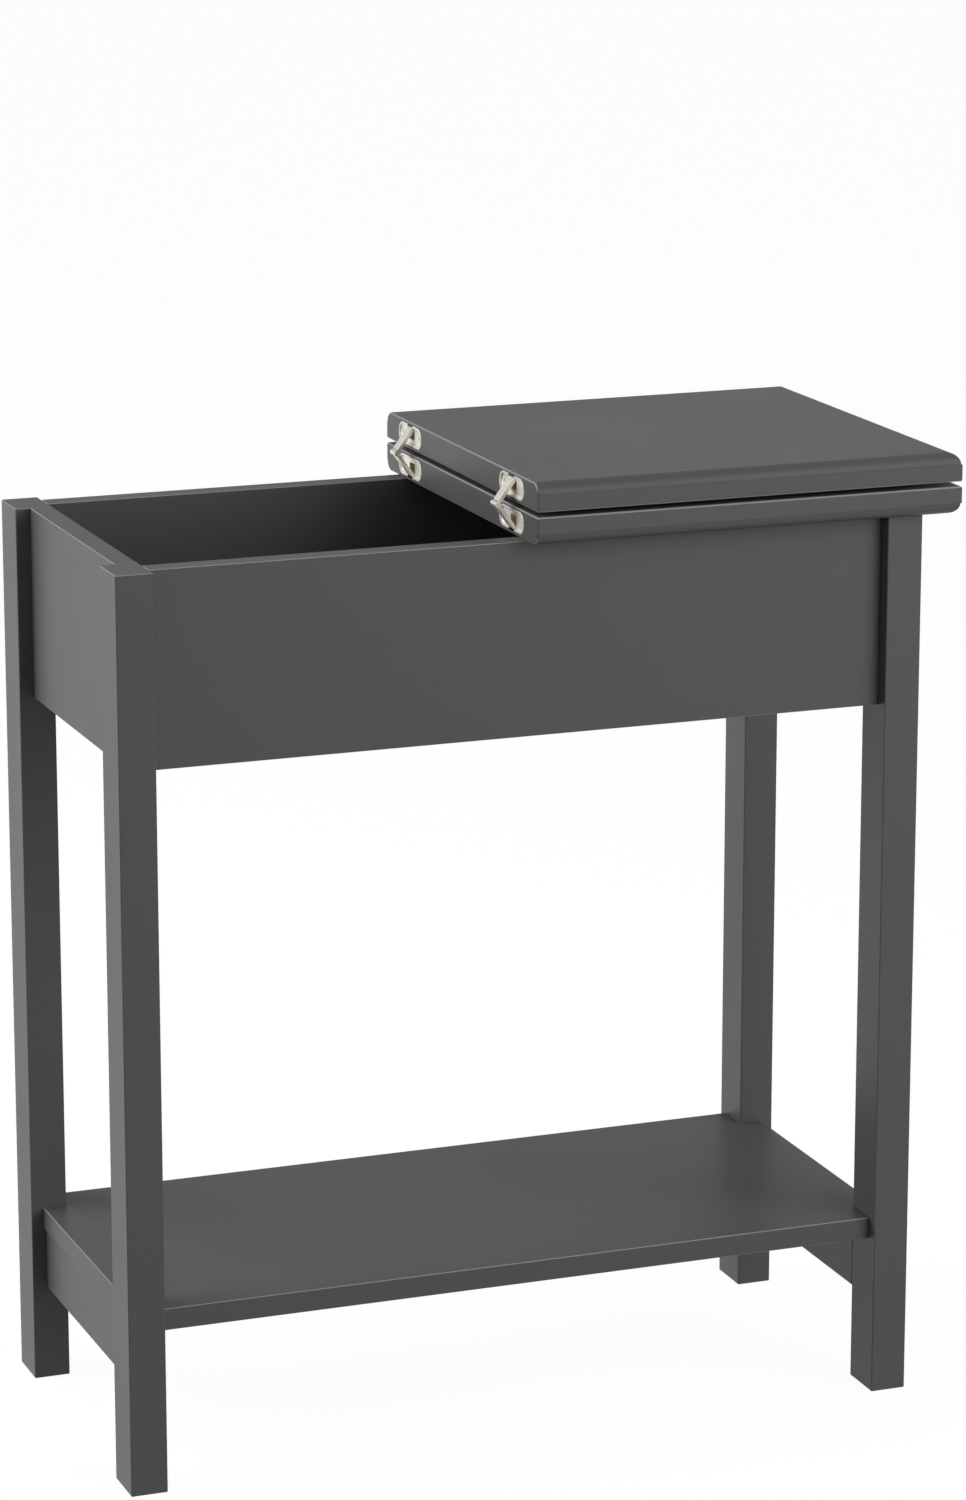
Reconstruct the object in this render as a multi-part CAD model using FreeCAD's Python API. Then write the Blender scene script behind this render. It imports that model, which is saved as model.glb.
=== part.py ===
"""Flip-top end table: a narrow frame with a storage box, a shelf and a top in two halves.

One half of the top is fixed over the right end of the box. The other half, the lid, folds over
it on two mortised link hinges, or lies beside it and closes the box. The model is shown folded.
Units are millimetres, +Z is up, X runs along the table and Y towards the back. The origin is on
the floor, at the middle of the folded table's bounding box.
"""
import FreeCAD, Part
import math
import os

os.makedirs("parts", exist_ok=True)
V = FreeCAD.Vector

# ---- Driving dimensions -------------------------------------------------------------------
# Legs
leg_width = 25.0          # along X
leg_depth = 35.0          # along Y
leg_height = 615.0
arris = 0.8               # small rounding on painted edges

# Frame: aprons and shelf rails between the legs
frame_length = 557.0
frame_depth = 264.0
panel_thickness = 15.0    # aprons and rails
frame_recess = 10.0       # outer faces of aprons and rails behind the leg faces
apron_height = 130.0
rail_height = 43.0

# Storage box floor, housed in grooves
floor_thickness = 6.0
floor_rise = 10.0         # floor's underside above the apron's lower edge
groove_depth = 5.0
groove_clearance = 0.1

# Shelf
shelf_thickness = 15.0
shelf_top = 124.0
shelf_inset = 8.5         # shelf edges behind the leg faces
shelf_notch_clearance = 0.15

# Top
top_length = 603.0        # both halves side by side
top_depth = 286.0
top_thickness = 19.0
top_edge_radius = 1.5
under_edge_radius = 7.6
under_edge_step = 0.7     # between the large round and the face of the edge
fold_gap = 3.0            # between the folded halves
seam_gap = 0.6            # between the halves when they lie side by side

# Joinery
dowel_diameter = 8.0
dowel_in_panel = 18.0
dowel_in_leg = 11.0
dowel_clearance = 0.05
dowel_margin = 22.0       # dowel centres from the apron's edges
cam_diameter = 15.0
cam_depth = 11.5
cam_setback = 24.0        # cam centre from the panel's end
cam_cross_width = 2.0     # screwdriver cross in the cam's face
cam_cross_reach = 4.5     # from the cam's middle
cam_cross_depth = 1.5
bolt_diameter = 6.0
bolt_stem_diameter = 3.6  # the thin end that enters the cam
bolt_head_diameter = 7.0
bolt_head_length = 2.4
bolt_in_leg = 10.5
bolt_clearance = 0.1
rail_fixing_offset = 10.0  # rail's dowel and bolt below and above its middle

# Angle brackets and their screws
bracket_leg = 18.0
bracket_width = 16.0
bracket_sheet = 1.5
bracket_hole = 9.5        # hole centre from the bend
bracket_corner_radius = 4.0
screw_diameter = 3.5
screw_head_diameter = 6.5
screw_head_height = 2.0
screw_length = 11.0
screw_clearance = 0.05
top_bracket_spacing = 108.0
shelf_bracket_inset = 43.0  # bracket centres from the ends of the rail

# Hinges: an oval cup in each half, joined by two laminated arms
hinge_inset = 47.0        # hinge centre from the front and back edges of the top
cup_width = 45.0          # flange, along Y
cup_height = 15.0         # flange and housing, both with full-round ends
flange_depth = 6.0        # into the board
housing_width = 26.0      # along Y
cup_depth = 24.5          # housing, into the board
cup_clearance = 0.05
cup_chamfer = 0.5
cup_rim = 1.4
dish_depth = 1.6
dish_fillet = 1.4
cup_screw_offset = 16.0   # each side of the cup's middle
cup_screw_diameter = 3.5
cup_screw_head_diameter = 7.0
cup_screw_head_height = 1.8
cup_screw_length = 16.0
plate_thickness = 1.2
plate_spacing = 0.15
plate_count = 7           # layers of plates in each arm
arm_half_width = 1.1
arm_angle = 53.8          # arms from the level when folded
apex_hub_radius = 1.9
link_reach = 10.6         # apex pin beyond the hinge line when folded
elbow_depth = 0.8         # plates' bend behind the hinge edge when folded
guide_start = 1.8         # first guide pin from the bend, along the groove
guide_step = 2.6          # between the two guide pins
pin_diameter = 1.6
pin_clearance = 0.04
guide_depth = 1.4         # groove in each ear for the guide pins
guide_clearance = 0.15
link_clearance = 0.4      # around the link plates in the cup's slot
side_clearance = 0.3      # on each side of the stack of plates

# ---- Places worked out from them ----------------------------------------------------------
top_half = top_length / 2
# The folded table reaches from the left legs to the right end of the top.
hinge_x = (frame_length / 2 - top_half) / 2
box_base = leg_height - apron_height
shelf_base = shelf_top - shelf_thickness
rail_base = shelf_base - rail_height
top_under = leg_height
top_upper = leg_height + top_thickness
fold_z = top_upper + fold_gap / 2
hinge_edge = hinge_x + seam_gap / 2
cup_middle = top_under + top_thickness / 2
fold_axis = (hinge_x, fold_z)
stack_width = plate_count * (plate_thickness + plate_spacing) - plate_spacing
slot_width = stack_width + 2 * side_clearance
hinge_places = {"front": -top_depth / 2 + hinge_inset, "back": top_depth / 2 - hinge_inset}


# ---- Small helpers ------------------------------------------------------------------------
def block(low, high):
    """Box between two corners."""
    size = [b - a for a, b in zip(low, high)]
    return Part.makeBox(*size, V(*low))


def rod(start, end, diameter):
    """Cylinder from one point to another."""
    axis = V(*end).sub(V(*start))
    return Part.makeCylinder(diameter / 2, axis.Length, V(*start), axis)


def prism(points, y_low, y_high):
    """Closed outline in the XZ plane, drawn out along Y."""
    corners = [V(x, y_low, z) for x, z in points]
    face = Part.Face(Part.makePolygon(corners + corners[:1]))
    return face.extrude(V(0, y_high - y_low, 0))


def edges_where(shape, test):
    """Edges whose two ends both pass a test."""
    return [e for e in shape.Edges if all(test(v.Point) for v in e.Vertexes)]


def near(a, b):
    return abs(a - b) < 1e-6


def softened(shape, radius=arris):
    """Rounds every edge of a plain board."""
    return shape.makeFillet(radius, shape.Edges)


def folded_over(shape):
    """The same piece in the lid: its mirror image in the plane between the folded halves."""
    return shape.mirror(V(0, 0, fold_z), V(0, 0, 1))


def group(shapes):
    return Part.makeCompound(shapes)


def save(name, shape):
    shape.exportStep("parts/" + name + ".step")


# ---- Fixings between a panel's end and a leg ----------------------------------------------
# Each fixing is worked out once as (joint face point, outward direction, inward normal).
def apron_joints():
    """Ends of the aprons: the point on the leg's face at mid thickness, and directions."""
    mid = frame_recess + panel_thickness / 2
    joints = []
    for sx in (-1, 1):
        for sy in (-1, 1):
            end_x = hinge_x + sx * (frame_length / 2 - leg_width)
            end_y = sy * (frame_depth / 2 - leg_depth)
            long_joint = ((end_x, sy * (frame_depth / 2 - mid)), (sx, 0), (0, -sy))
            short_joint = ((hinge_x + sx * (frame_length / 2 - mid), end_y), (0, sy), (-sx, 0))
            joints.append(long_joint)
            joints.append(short_joint)
    return joints


def rail_joints():
    """Ends of the shelf rails, which lie in line with the short aprons."""
    return [joint for joint in apron_joints() if joint[1][0] == 0]


def along(point, direction, distance, z):
    return (point[0] + direction[0] * distance, point[1] + direction[1] * distance, z)


def dowel(joint, z, clearance=0.0):
    point, outward, _ = joint
    start = along(point, outward, -dowel_in_panel - clearance, z)
    end = along(point, outward, dowel_in_leg + clearance, z)
    return rod(start, end, dowel_diameter + 2 * clearance)


def cam_bolt(joint, z, clearance=0.0):
    """Bolt from the leg to the cam's middle, with the head that the cam grips."""
    point, outward, _ = joint
    tip = along(point, outward, bolt_in_leg + clearance, z)
    if clearance:
        return rod(along(point, outward, -cam_setback, z), tip, bolt_diameter + 2 * clearance)
    centre = along(point, outward, -cam_setback, z)
    neck = along(point, outward, -cam_setback + cam_diameter / 2, z)
    shank = rod(neck, tip, bolt_diameter)
    stem = rod(centre, neck, bolt_stem_diameter)
    head = rod(centre, along(point, outward, -cam_setback + bolt_head_length, z), bolt_head_diameter)
    return shank.fuse([stem, head]).removeSplitter()


def cam_axis(joint, z):
    """Ends of the cam's axis: at the bottom of its bore, and on the panel's inner face."""
    point, outward, inward = joint
    centre = along(point, outward, -cam_setback, z)
    face = along(centre, inward, panel_thickness / 2, z)
    deep = along(face, inward, -cam_depth, z)
    return deep, face


def cam_lock(joint, z):
    """Round cam in the panel's inner face, open to the bolt, with a screwdriver cross."""
    point, outward, inward = joint
    deep, face = cam_axis(joint, z)
    cam = rod(deep, face, cam_diameter - 2 * bolt_clearance)
    grip = rod(along(point, outward, -cam_setback - bolt_diameter / 2, z), point + (z,),
               bolt_head_diameter + 2 * bolt_clearance)
    low = [f - abs(n) * cam_cross_depth for f, n in zip(face, inward)]
    high = [f + abs(n) * cam_cross_depth for f, n in zip(face, inward)]
    cuts = [grip]
    for half_along, half_up in ((cam_cross_reach, cam_cross_width / 2),
                                (cam_cross_width / 2, cam_cross_reach)):
        spread = [abs(o) * half_along for o in outward]
        cuts.append(block([a - b for a, b in zip(low, spread)] + [z - half_up],
                          [a + b for a, b in zip(high, spread)] + [z + half_up]))
    return cam.cut(cuts)


apron_dowel_levels = (box_base + dowel_margin, leg_height - dowel_margin)
apron_bolt_level = box_base + apron_height / 2
rail_middle = rail_base + rail_height / 2
rail_dowel_level = rail_middle - rail_fixing_offset
rail_bolt_level = rail_middle + rail_fixing_offset


def fixing_cuts():
    """Bores for every dowel, bolt and cam, for cutting the legs and panels."""
    cuts = []
    for joint in apron_joints():
        cuts += [dowel(joint, z, dowel_clearance) for z in apron_dowel_levels]
        cuts += [cam_bolt(joint, apron_bolt_level, bolt_clearance)]
        cuts += [rod(*cam_axis(joint, apron_bolt_level), cam_diameter)]
    for joint in rail_joints():
        cuts += [dowel(joint, rail_dowel_level, dowel_clearance)]
        cuts += [cam_bolt(joint, rail_bolt_level, bolt_clearance)]
        cuts += [rod(*cam_axis(joint, rail_bolt_level), cam_diameter)]
    return cuts


def cut_near(shape, cutters):
    """Cuts away the cutters that reach into a shape."""
    touching = [c for c in cutters if shape.BoundBox.intersect(c.BoundBox)]
    return shape.cut(touching) if touching else shape


# ---- Wooden parts of the frame ------------------------------------------------------------
def leg(sx, sy, cuts):
    outer_x = hinge_x + sx * frame_length / 2
    outer_y = sy * frame_depth / 2
    xs = sorted((outer_x, outer_x - sx * leg_width))
    ys = sorted((outer_y, outer_y - sy * leg_depth))
    post = softened(block((xs[0], ys[0], 0), (xs[1], ys[1], leg_height)))
    return cut_near(post, cuts)


def floor_panel(clearance=0.0):
    """Storage floor, or the grooves that hold it when given a clearance."""
    inner = frame_recess + panel_thickness
    reach_x = frame_length / 2 - inner + groove_depth + clearance
    reach_y = frame_depth / 2 - inner + groove_depth + clearance
    under = box_base + floor_rise
    low, high = under - clearance, under + floor_thickness + clearance
    panel = block((hinge_x - reach_x, -reach_y, low), (hinge_x + reach_x, reach_y, high))
    if clearance:
        return panel
    notch_x = frame_length / 2 - max(leg_width, inner) - groove_clearance
    notch_y = frame_depth / 2 - leg_depth - groove_clearance
    for sx in (-1, 1):
        for sy in (-1, 1):
            xs = sorted((hinge_x + sx * notch_x, hinge_x + sx * frame_length))
            ys = sorted((sy * notch_y, sy * frame_depth))
            panel = panel.cut(block((xs[0], ys[0], low), (xs[1], ys[1], high)))
    return panel


def long_apron(sy, cuts):
    """Front or back apron, between the legs."""
    reach = frame_length / 2 - leg_width
    outer = sy * (frame_depth / 2 - frame_recess)
    ys = sorted((outer, outer - sy * panel_thickness))
    board = softened(block((hinge_x - reach, ys[0], box_base), (hinge_x + reach, ys[1], leg_height)))
    return cut_near(board, cuts)


def short_panel(sx, low, high, cuts):
    """End apron or shelf rail, between a front and a back leg."""
    reach = frame_depth / 2 - leg_depth
    outer = hinge_x + sx * (frame_length / 2 - frame_recess)
    xs = sorted((outer, outer - sx * panel_thickness))
    board = softened(block((xs[0], -reach, low), (xs[1], reach, high)))
    return cut_near(board, cuts)


def shelf(cuts):
    """Shelf with a notch around each leg."""
    reach_x = frame_length / 2 - shelf_inset
    reach_y = frame_depth / 2 - shelf_inset
    board = block((hinge_x - reach_x, -reach_y, shelf_base), (hinge_x + reach_x, reach_y, shelf_top))
    notch_x = frame_length / 2 - leg_width - shelf_notch_clearance
    notch_y = frame_depth / 2 - leg_depth - shelf_notch_clearance
    for sx in (-1, 1):
        for sy in (-1, 1):
            xs = sorted((hinge_x + sx * notch_x, hinge_x + sx * frame_length))
            ys = sorted((sy * notch_y, sy * frame_depth))
            board = board.cut(block((xs[0], ys[0], shelf_base), (xs[1], ys[1], shelf_top)))
    rims = edges_where(board, lambda p: near(p.z, shelf_top)) + edges_where(
        board, lambda p: near(p.z, shelf_base))
    return cut_near(board.makeFillet(arris, rims), cuts)


# ---- Angle brackets -----------------------------------------------------------------------
def angle_bracket():
    """Bent strip in the corner under a board: one leg along -Z, the other along +X."""
    half = bracket_width / 2
    strip = [(0, 0), (bracket_leg, 0), (bracket_leg, -bracket_sheet),
             (bracket_sheet, -bracket_sheet), (bracket_sheet, -bracket_leg), (0, -bracket_leg)]
    body = prism(strip, -half, half)
    inner = edges_where(body, lambda p: near(p.x, bracket_sheet) and near(p.z, -bracket_sheet))
    body = body.makeFillet(bracket_sheet, inner)
    ends = [e for e in body.Edges if near(e.Length, bracket_sheet)]
    body = body.makeFillet(bracket_corner_radius, ends)
    hole = screw_diameter + 2 * screw_clearance
    up = rod((bracket_hole, 0, -bracket_sheet), (bracket_hole, 0, 0), hole)
    across = rod((0, 0, -bracket_hole), (bracket_sheet, 0, -bracket_hole), hole)
    return body.cut([up, across])


def bracket_screws(clearance=0.0):
    """The bracket's two screws: up into the board, and across into the panel."""
    shank = screw_diameter + 2 * clearance
    tip = screw_length - bracket_sheet + clearance
    neck = bracket_sheet
    up = rod((bracket_hole, 0, -neck), (bracket_hole, 0, tip), shank)
    across = rod((neck, 0, -bracket_hole), (-tip, 0, -bracket_hole), shank)
    if clearance:
        return [up, across]
    head = (screw_head_diameter / 2, screw_diameter / 2, screw_head_height)
    head_up = Part.makeCone(*head, V(bracket_hole, 0, -neck), V(0, 0, -1))
    head_across = Part.makeCone(*head, V(neck, 0, -bracket_hole), V(1, 0, 0))
    return [up.fuse(head_up), across.fuse(head_across)]


def placed(shape, place, angle):
    moved = shape.copy()
    moved.rotate(V(0, 0, 0), V(0, 0, 1), angle)
    moved.translate(V(*place))
    return moved


def top_bracket_places():
    """Under the fixed half, inside the front and back aprons."""
    inner = frame_depth / 2 - frame_recess - panel_thickness
    middle = hinge_x + top_half / 2
    step = top_bracket_spacing / 2
    places = []
    for x in (middle - step, middle + step):
        places.append(((x, -inner, top_under), 90))
        places.append(((x, inner, top_under), -90))
    return places


def shelf_bracket_places():
    """Under the shelf, inside the two rails."""
    inner = frame_length / 2 - frame_recess - panel_thickness
    step = frame_depth / 2 - leg_depth - shelf_bracket_inset
    places = []
    for y in (-step, step):
        places.append(((hinge_x - inner, y, shelf_base), 0))
        places.append(((hinge_x + inner, y, shelf_base), 180))
    return places


def screws_at(places, clearance=0.0):
    return [placed(s, *spot) for spot in places for s in bracket_screws(clearance)]


# ---- Hinges: kinematics -------------------------------------------------------------------
# The lid turns about the fold axis. The plates of each arm run in round grooves in their own cup,
# about a centre in the air, and the two arms are pinned together at the apex. The centre lies on
# the diagonal through the fold axis, so the arms are level when the halves lie side by side.
def turned(point, centre, degrees):
    """Point turned in the XZ plane from +X towards +Z."""
    a = math.radians(degrees)
    dx, dz = point[0] - centre[0], point[1] - centre[1]
    return (centre[0] + dx * math.cos(a) - dz * math.sin(a),
            centre[1] + dx * math.sin(a) + dz * math.cos(a))


def mirrored(point):
    return (point[0], 2 * fold_z - point[1])


link_ratio = arm_angle / 180
spread = math.tan(math.radians((90 - arm_angle) / 2))
centre_offset = link_reach * spread / (1 - spread)
groove_centre = (hinge_x + centre_offset, fold_z + centre_offset)
apex = (hinge_x - link_reach, fold_z)
elbow_x = hinge_edge + elbow_depth
elbow = (elbow_x, fold_z - (elbow_x - apex[0]) * math.tan(math.radians(arm_angle)))
groove_radius = math.dist(elbow, groove_centre)
fold_steps = range(0, 181, 15)


def on_groove(distance):
    """Point on the groove's line, at a distance from the bend of the folded plates."""
    return turned(elbow, groove_centre, math.degrees(distance / groove_radius))


guide_pins = (on_groove(guide_start), on_groove(guide_start + guide_step))


def with_fixed_links(point, angle):
    """A point of the fixed half's plates, with the lid at an angle."""
    return turned(point, groove_centre, link_ratio * angle)


def with_lid_links(point, angle):
    """A point of the lid's plates, with the lid at an angle."""
    return turned(turned(point, mirrored(groove_centre), -link_ratio * angle), fold_axis, angle)


def mouth_level(angle):
    """Height at which the fixed half's arm crosses the hinge edge."""
    inner, outer = with_fixed_links(elbow, angle), with_fixed_links(apex, angle)
    return outer[1] + (inner[1] - outer[1]) * (hinge_edge - outer[0]) / (inner[0] - outer[0])


# The arms would part this far at the apex, so the lid's plates have that much play there.
apex_play = max(math.dist(with_fixed_links(apex, a), with_lid_links(apex, a)) for a in fold_steps)
apex_flat = with_fixed_links(apex, 180)
hub_level = apex_flat[1] + apex_hub_radius - arm_half_width
slot_top = max([mouth_level(a) for a in fold_steps] + [hub_level])


# ---- Hinges: solids -----------------------------------------------------------------------
def oval(x, width, height):
    """Oval with full-round ends, across the hinge edge at mid thickness."""
    r = height / 2
    half = width / 2 - r
    ends = [(half, r), (half + r, 0), (half, -r), (-half, -r), (-half - r, 0), (-half, r)]
    points = [V(x, y, cup_middle + z) for y, z in ends]
    edges = [Part.Arc(*points[:3]), Part.LineSegment(points[2], points[3]),
             Part.Arc(*points[3:]), Part.LineSegment(points[5], points[0])]
    return Part.Face(Part.Wire([e.toShape() for e in edges]))


def cup_block(grow=0.0):
    """Flange and housing of a cup, or the mortise for them when grown."""
    blocks = []
    for width, depth in ((cup_width, flange_depth), (housing_width, cup_depth)):
        face = oval(hinge_edge, width + 2 * grow, cup_height + 2 * grow)
        blocks.append(face.extrude(V(depth, 0, 0)))
    return blocks[0].fuse(blocks[1]).removeSplitter()


def cup_dish():
    """Hollow in the cup's face, with a round foot to its wall."""
    face = oval(hinge_edge, cup_width - 2 * cup_rim, cup_height - 2 * cup_rim)
    dish = face.extrude(V(dish_depth, 0, 0))
    return dish.makeFillet(dish_fillet, edges_where(dish, lambda p: near(p.x, hinge_edge + dish_depth)))


def cup_screws(clearance=0.0):
    """The two countersunk screws of a cup at y = 0, or the bores for them."""
    seat = hinge_edge + dish_depth
    radius = cup_screw_diameter / 2 + clearance
    screws = []
    for y in (-cup_screw_offset, cup_screw_offset):
        tip = seat + cup_screw_length + clearance
        head = Part.makeCone(cup_screw_head_diameter / 2, radius, cup_screw_head_height,
                             V(seat, y, cup_middle), V(1, 0, 0))
        screws.append(rod((seat, y, cup_middle), (tip, y, cup_middle), 2 * radius).fuse(head))
    return screws


def flat_outline(points, y, bend=None):
    """Wire in the XZ plane at y. The side that starts at the point bend is an arc about the
    groove's centre."""
    corners = [V(x, y, z) for x, z in points]
    edges = []
    for i, start in enumerate(corners):
        end = corners[(i + 1) % len(corners)]
        if i == bend:
            middle = start.add(end).multiply(0.5)
            centre = V(groove_centre[0], y, groove_centre[1])
            out = middle.sub(centre).normalize().multiply(groove_radius)
            edges.append(Part.Arc(start, centre.add(out), end).toShape())
        else:
            edges.append(Part.LineSegment(start, end).toShape())
    return Part.Wire(edges)


def link_slot():
    """Room for the plates in the cup, open at the hinge edge: it follows the guide pins' path."""
    outside = hinge_x - 2 * link_reach
    lowest = (groove_centre[0], groove_centre[1] - groove_radius)
    deepest = with_fixed_links(guide_pins[-1], 180)
    points = [(outside, lowest[1]), lowest, deepest, (hinge_edge, slot_top), (outside, slot_top)]
    loop = flat_outline(points, -slot_width / 2, bend=1)
    outline = loop.makeOffset2D(arm_half_width + link_clearance, join=0)
    return Part.Face(outline).extrude(V(0, slot_width, 0))


def guide_groove():
    """Round groove in both ears, along the path of the guide pins."""
    half = slot_width / 2 + guide_depth
    room = pin_diameter / 2 + guide_clearance
    start, end = guide_pins[0], with_fixed_links(guide_pins[-1], 180)
    height = V(groove_centre[0], -half, groove_centre[1])
    ring = Part.makeCylinder(groove_radius + room, 2 * half, height, V(0, 1, 0))
    ring = ring.cut(Part.makeCylinder(groove_radius - room, 2 * half, height, V(0, 1, 0)))
    reach = 2 * groove_radius
    sector = [groove_centre] + [
        tuple(c + reach * (p - c) / groove_radius for p, c in zip(point, groove_centre))
        for point in (start, end)]
    band = ring.common(prism(sector, -half, half))
    ends = [rod((x, -half, z), (x, half, z), 2 * room) for x, z in (start, end)]
    return band.fuse(ends)


def hinge_cup():
    """Cast cup of the fixed half, at y = 0."""
    body = cup_block()
    rim = edges_where(body, lambda p: near(p.x, hinge_edge))
    body = body.makeChamfer(cup_chamfer, rim)
    return body.cut([cup_dish(), link_slot(), guide_groove()] + cup_screws(screw_clearance))


def capsule(a, b, y):
    """Flat bar with round ends, one plate thick, starting at y."""
    face_a, face_b = V(a[0], y, a[1]), V(b[0], y, b[1])
    run = face_b.sub(face_a)
    side = V(-run.z, 0, run.x).normalize().multiply(arm_half_width)
    along_run = V(run.x, 0, run.z).normalize().multiply(arm_half_width)
    edges = [Part.LineSegment(face_a.add(side), face_b.add(side)).toShape(),
             Part.Arc(face_b.add(side), face_b.add(along_run), face_b.sub(side)).toShape(),
             Part.LineSegment(face_b.sub(side), face_a.sub(side)).toShape(),
             Part.Arc(face_a.sub(side), face_a.sub(along_run), face_a.add(side)).toShape()]
    return Part.Face(Part.Wire(edges)).extrude(V(0, plate_thickness, 0))


def plate_bore(point, y, diameter):
    return rod((point[0], y, point[1]), (point[0], y + plate_thickness, point[1]), diameter)


def link_plate(y, apex_bore):
    """Plate of the fixed half's arm: hub at the apex, bend at the cup's mouth, guide pin bores."""
    plate = capsule(apex, elbow, y).fuse([capsule(elbow, guide_pins[-1], y),
                                          plate_bore(apex, y, 2 * apex_hub_radius)])
    bores = [plate_bore(point, y, pin_diameter) for point in guide_pins]
    return plate.cut(bores + [plate_bore(apex, y, apex_bore)]).removeSplitter()


def spacer_plate(y):
    """Plate that fills the arm beside the other arm's hub."""
    room = 2 * (apex_hub_radius + apex_play + link_clearance)
    return link_plate(y, pin_diameter).cut(plate_bore(apex, y, room))


def arm(which):
    """All plates of one arm in the fixed half's place: the fixed half's (0) or the lid's (1)."""
    bore = pin_diameter if which == 0 else pin_diameter + 2 * (apex_play + pin_clearance)
    plates = []
    for i in range(plate_count):
        y = -stack_width / 2 + i * (plate_thickness + plate_spacing)
        plates.append(link_plate(y, bore) if i % 2 == which else spacer_plate(y))
    return plates


def cross_pin(point, half_length):
    """Pin along Y through a stack of plates."""
    return rod((point[0], -half_length, point[1]), (point[0], half_length, point[1]), pin_diameter)


# ---- The two halves of the top ------------------------------------------------------------
def top_board():
    """Fixed half: small round above and at the hinge edge. The other under edges have a large
    round that is set back behind the edge's face by a narrow step."""
    half = top_depth / 2
    end = hinge_x + top_half
    step_level = top_under + under_edge_radius
    upper = block((hinge_edge, -half, step_level), (end, half, top_upper))
    sharp = [e for e in upper.Edges if near(e.BoundBox.ZMin, top_upper)
             or near(e.BoundBox.XMax, hinge_edge) and near(e.BoundBox.ZMax, top_upper)]
    upper = upper.makeFillet(top_edge_radius, sharp)
    lower = block((hinge_edge, -half + under_edge_step, top_under),
                  (end - under_edge_step, half - under_edge_step, cup_middle))
    under = edges_where(lower, lambda p: near(p.z, top_under))
    under = [e for e in under if not near(e.BoundBox.XMax, hinge_edge)]
    lower = lower.makeFillet(under_edge_radius, under)
    at_hinge = [e for e in lower.Edges if near(e.BoundBox.XMax, hinge_edge)
                and not near(e.BoundBox.ZMin, cup_middle)]
    lower = lower.makeFillet(top_edge_radius, at_hinge)
    board = upper.fuse(lower).removeSplitter()
    for place in hinge_places.values():
        room = [cup_block(cup_clearance)] + cup_screws(screw_clearance)
        board = board.cut([r.translated(V(0, place, 0)) for r in room])
    return board


# ---- Build --------------------------------------------------------------------------------
def build_frame():
    cuts = fixing_cuts() + [floor_panel(groove_clearance)]
    cuts += screws_at(top_bracket_places() + shelf_bracket_places(), screw_clearance)
    sides = {"left": -1, "right": 1}
    ends = {"front": -1, "back": 1}
    for side, sx in sides.items():
        for end, sy in ends.items():
            save("leg_" + end + "_" + side, leg(sx, sy, cuts))
        save("apron_" + side, short_panel(sx, box_base, leg_height, cuts))
        save("shelf_rail_" + side, short_panel(sx, rail_base, shelf_base, cuts))
    for end, sy in ends.items():
        save("apron_" + end, long_apron(sy, cuts))
    save("storage_floor", floor_panel())
    save("shelf", shelf(cuts))
    return cuts


def build_fixings():
    dowels = [dowel(j, z) for j in apron_joints() for z in apron_dowel_levels]
    dowels += [dowel(j, rail_dowel_level) for j in rail_joints()]
    levels = [(j, apron_bolt_level) for j in apron_joints()]
    levels += [(j, rail_bolt_level) for j in rail_joints()]
    save("dowels", group(dowels))
    save("cam_bolts", group([cam_bolt(j, z) for j, z in levels]))
    save("cam_locks", group([cam_lock(j, z) for j, z in levels]))
    bracket = angle_bracket()
    for name, places in (("top", top_bracket_places()), ("shelf", shelf_bracket_places())):
        save(name + "_brackets", group([placed(bracket, *spot) for spot in places]))
        save(name + "_bracket_screws", group(screws_at(places)))


def build_top(cuts):
    board = top_board()
    save("top_fixed_half", cut_near(board, cuts))
    save("top_lid_half", folded_over(board))


def build_hinges():
    cup = hinge_cup()
    arms = [group(arm(0)), group(arm(1))]
    reach = slot_width / 2 + guide_depth - guide_clearance
    first_pin, last_pin = [cross_pin(point, reach) for point in guide_pins]
    apex_pin = cross_pin(apex, stack_width / 2)
    screws = []
    for end, place in hinge_places.items():
        pieces = {
            "cup_fixed": cup,
            "cup_lid": folded_over(cup),
            "pin_fixed": first_pin,
            "pin_lid": folded_over(first_pin),
            "pin_slide_fixed": last_pin,
            "pin_slide_lid": folded_over(last_pin),
            "links_fixed": arms[0],
            "links_lid": folded_over(arms[1]),
            "pin_crossing": apex_pin,
        }
        for name, shape in pieces.items():
            moved = shape.copy()
            moved.translate(V(0, place, 0))
            save("hinge_" + end + "_" + name, moved)
        screws += [screw.translated(V(0, place, 0)) for screw in cup_screws()]
    save("hinge_set_screws_fixed", group(screws))
    save("hinge_set_screws_lid", group([folded_over(s) for s in screws]))


all_cuts = build_frame()
build_fixings()
build_top(all_cuts)
build_hinges()
print("fold axis", fold_axis, "groove centres", groove_centre, mirrored(groove_centre))
print("link ratio", round(link_ratio, 6), "apex play", round(apex_play, 3))
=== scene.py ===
"""Finish of the flip-top end table: paint, hinge metal, fittings, studio and camera.

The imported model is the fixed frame. Every operator dresses one group of its pieces.
Lengths are in metres, +Z is up.
"""

import math

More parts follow.
